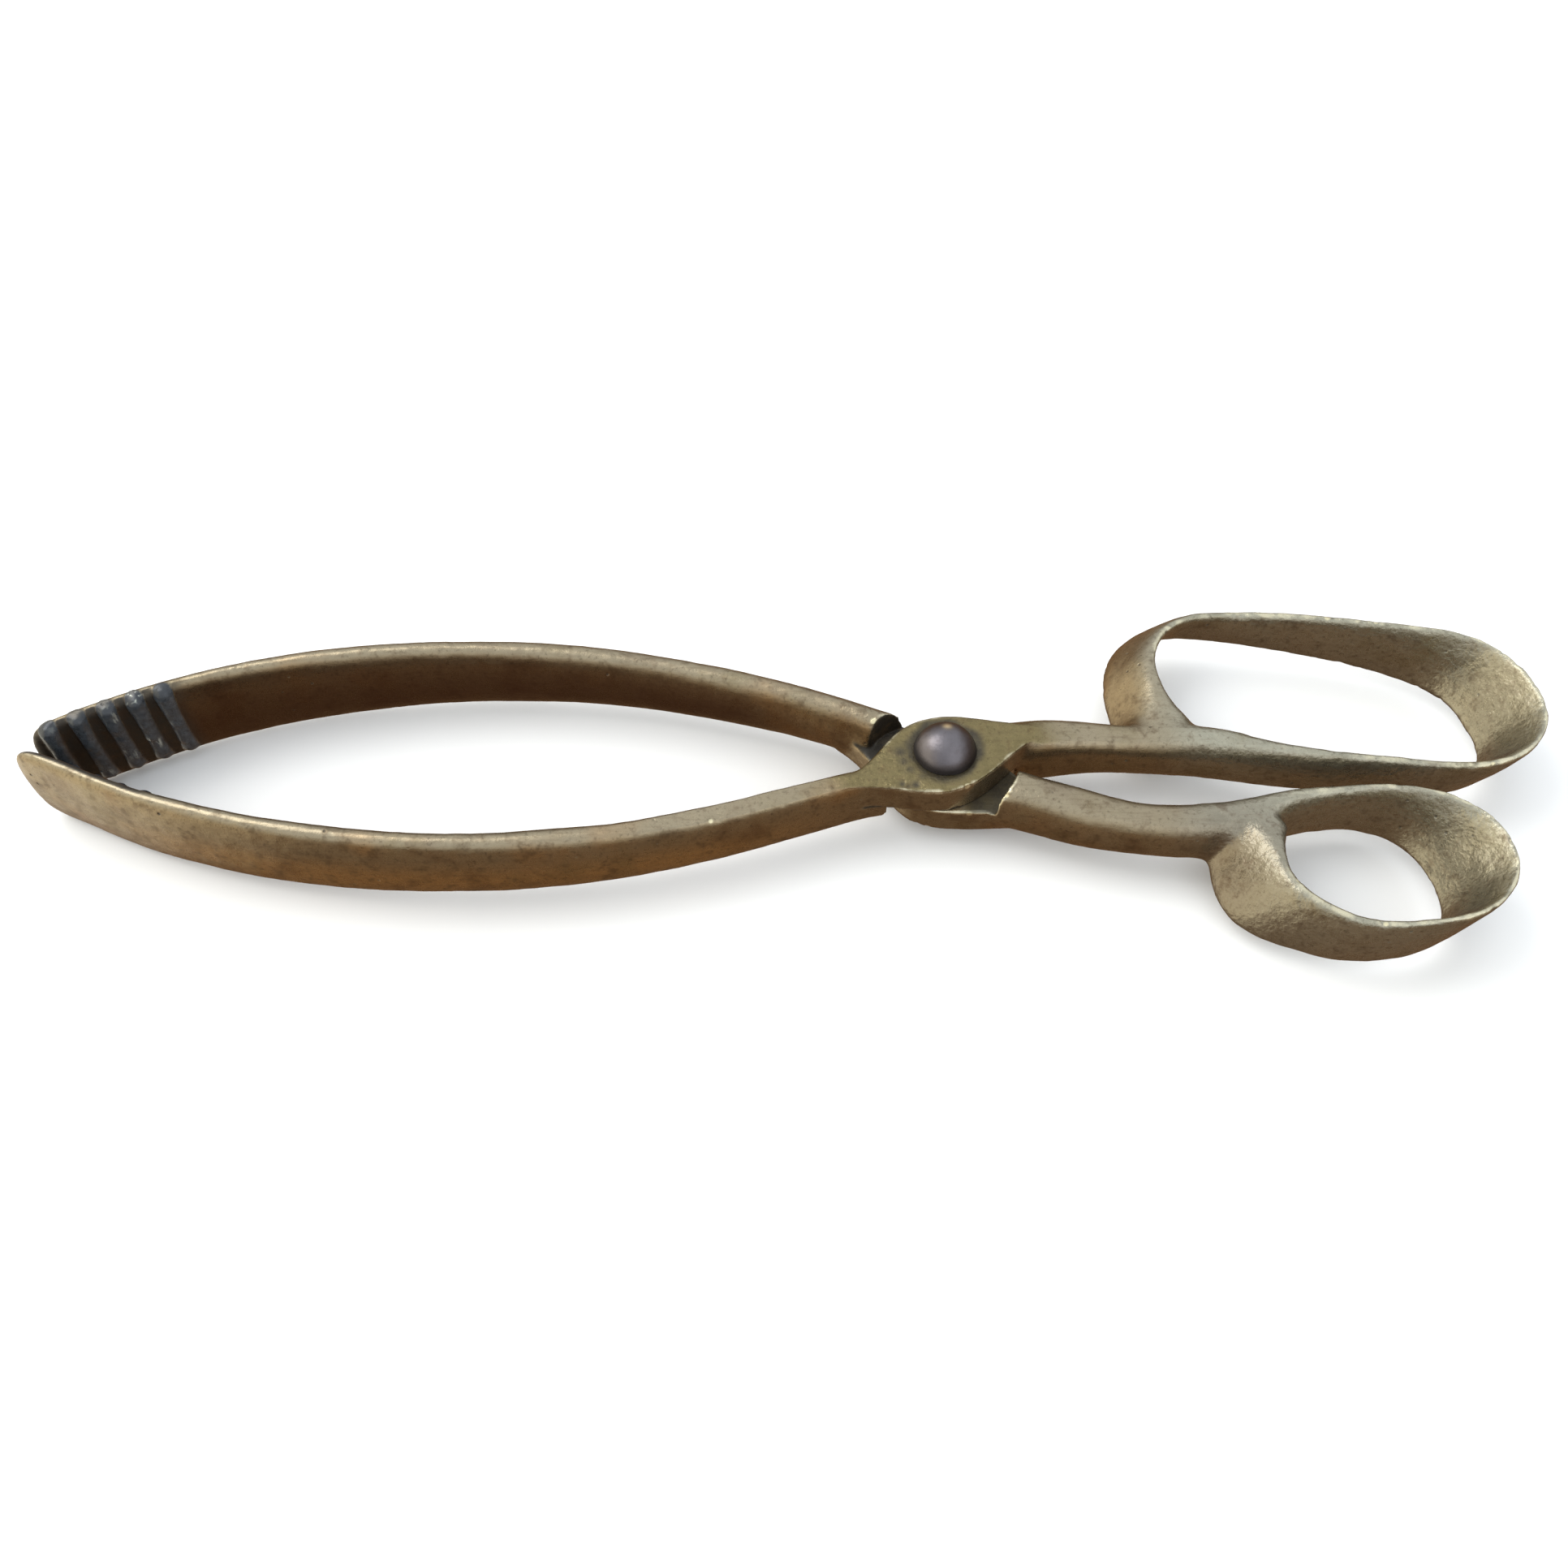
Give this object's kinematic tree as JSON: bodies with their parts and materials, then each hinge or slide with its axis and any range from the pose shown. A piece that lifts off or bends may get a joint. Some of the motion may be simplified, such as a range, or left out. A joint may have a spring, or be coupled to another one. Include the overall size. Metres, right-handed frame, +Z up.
{
  "type": "ice tongs",
  "caption": "Cast brass scissor-action ice tongs with bowed jaws that end in gripping ridges, a lap joint on a domed rivet, a large finger loop and a smaller thumb ring.",
  "frame": {"origin": "where the rivet's axis meets the plane that the tongs rest on, at the flat of the rivet's tail", "axes": "+X from the rivet towards the handles, so the jaws point to -X; +Y towards the far jaw, the one on the thumb ring's arm; +Z up, along the rivet, through its domed head"},
  "size_m": [0.2648, 0.0701, 0.0198],
  "materials": {
    "cast_brass": "aged and dulled, with soft highlights along the rims and blue-black gripping ridges",
    "rivet_steel": "dark patinated dome, satin",
    "washer_brass": "dull"
  },
  "bodies": {
    "thumb_arm": {"thumb_ring_arm": "cast_brass", "pivot_rivet": "rivet_steel", "rivet_washer": "washer_brass"},
    "finger_arm": {"finger_loop_arm": "cast_brass"}
  },
  "joints": [
    {"name": "jaws", "type": "hinge", "parent": "thumb_arm", "child": "finger_arm", "pos_m": [0, 0, 0.0098], "axis": [0, 0, 1], "range_deg": [0, 50]}
  ]
}
